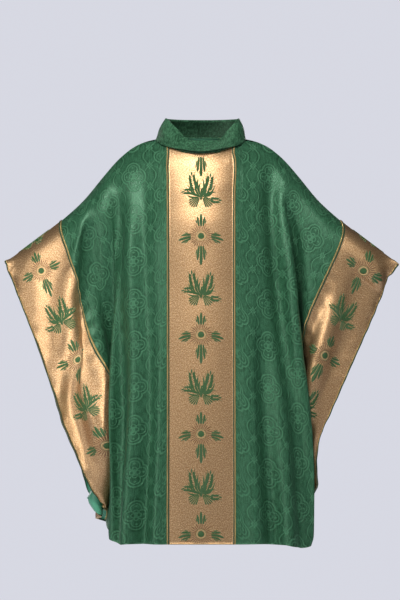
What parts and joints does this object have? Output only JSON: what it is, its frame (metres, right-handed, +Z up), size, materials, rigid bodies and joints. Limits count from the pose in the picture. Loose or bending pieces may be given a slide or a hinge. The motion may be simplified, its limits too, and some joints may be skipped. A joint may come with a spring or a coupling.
{
  "type": "chasuble",
  "caption": "Full-cut lined vestment with a stand collar, wide centre orphrey and broad bands along the arm edges, in its worn drape with the arms lowered.",
  "frame": {"origin": "centre of the neckline, level with the collar seam at the sides of the neck, where the garment rests on the shoulders", "axes": "+X to the wearer's left, -Y to the front, +Z up"},
  "size_m": [1.1636, 0.4924, 1.2814],
  "materials": {
    "green_damask": "satin figured damask",
    "gold_brocade": "metallic woven brocade with green figures",
    "galloon": "ribbed metallic braid with a dark green line",
    "dark_green_piping": "corded satin",
    "green_lining": "plain satin lining",
    "interlining": "matte cotton",
    "thread": "twisted polyester"
  },
  "bodies": {
    "root": {"front_panel_left": "green_damask", "front_panel_right": "green_damask", "back_panel_left": "green_damask", "back_panel_right": "green_damask", "orphrey_front": "gold_brocade", "orphrey_back": "gold_brocade", "side_band_front_left": "gold_brocade", "side_band_front_right": "gold_brocade", "side_band_back_left": "gold_brocade", "side_band_back_right": "gold_brocade", "galloon_orphrey_front_left": "galloon", "galloon_orphrey_front_right": "galloon", "galloon_orphrey_back_left": "galloon", "galloon_orphrey_back_right": "galloon", "galloon_band_front_left": "galloon", "galloon_band_front_right": "galloon", "galloon_band_back_left": "galloon", "galloon_band_back_right": "galloon", "piping_front_left": "dark_green_piping", "piping_front_right": "dark_green_piping", "piping_back_left": "dark_green_piping", "piping_back_right": "dark_green_piping", "collar_outer": "green_damask", "collar_interfacing": "interlining", "collar_lining": "green_lining", "neck_binding": "green_lining", "lining_front": "green_lining", "lining_back": "green_lining", "orphrey_interlining_front": "interlining", "orphrey_interlining_back": "interlining", "hem_facing_front": "green_damask", "hem_facing_back": "green_damask", "shoulder_tape_left": "interlining", "shoulder_tape_right": "interlining", "stitching_front": "thread", "stitching_back": "thread"}
  },
  "joints": []
}
